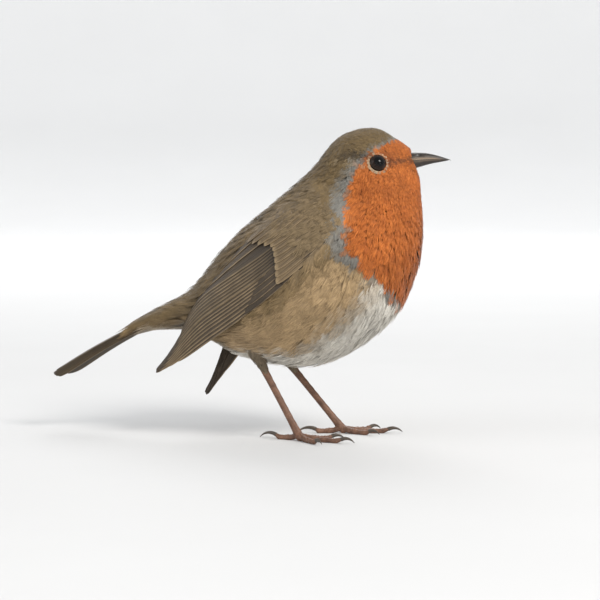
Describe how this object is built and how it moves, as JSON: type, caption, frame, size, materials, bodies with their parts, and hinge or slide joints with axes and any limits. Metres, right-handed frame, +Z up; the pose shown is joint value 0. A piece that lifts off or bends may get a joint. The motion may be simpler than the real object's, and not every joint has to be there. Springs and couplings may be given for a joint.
{
  "type": "european robin, standing, still life-size model",
  "caption": "Life-size still model of a European robin standing on both feet, with folded wings, a closed bill and the tail held low.",
  "frame": {"origin": "under the middle of the model's box, on the floor that the toes stand on", "axes": "+X ahead, the way the bill points, +Y to the robin's left, +Z up"},
  "size_m": [0.1224, 0.0472, 0.0926],
  "materials": {
    "face_feather": "soft orange-red contour feathers",
    "body_feather": "soft olive-brown contour feathers, white to buff below",
    "flight_feather": "smooth brown vanes with paler edges",
    "bill_horn": "satin dark horn",
    "leg_scale": "satin scaled skin",
    "claw_horn": "satin horn",
    "eye": "wet gloss"
  },
  "bodies": {
    "root": {"head": "face_feather", "neck": "face_feather", "trunk": "body_feather", "eye_right": "eye", "eye_left": "eye", "bill_upper": "bill_horn", "bill_lower": "bill_horn", "wing_right_coverts": "body_feather", "wing_right_primaries": "flight_feather", "wing_right_tertials": "flight_feather", "wing_left_coverts": "body_feather", "wing_left_primaries": "flight_feather", "wing_left_tertials": "flight_feather", "tail": "flight_feather", "thigh_right": "body_feather", "tarsus_right": "leg_scale", "toe_right_hind": "leg_scale", "claw_right_hind": "claw_horn", "toe_right_inner": "leg_scale", "claw_right_inner": "claw_horn", "toe_right_middle": "leg_scale", "claw_right_middle": "claw_horn", "toe_right_outer": "leg_scale", "claw_right_outer": "claw_horn", "thigh_left": "body_feather", "tarsus_left": "leg_scale", "toe_left_hind": "leg_scale", "claw_left_hind": "claw_horn", "toe_left_inner": "leg_scale", "claw_left_inner": "claw_horn", "toe_left_middle": "leg_scale", "claw_left_middle": "claw_horn", "toe_left_outer": "leg_scale", "claw_left_outer": "claw_horn"}
  },
  "joints": []
}
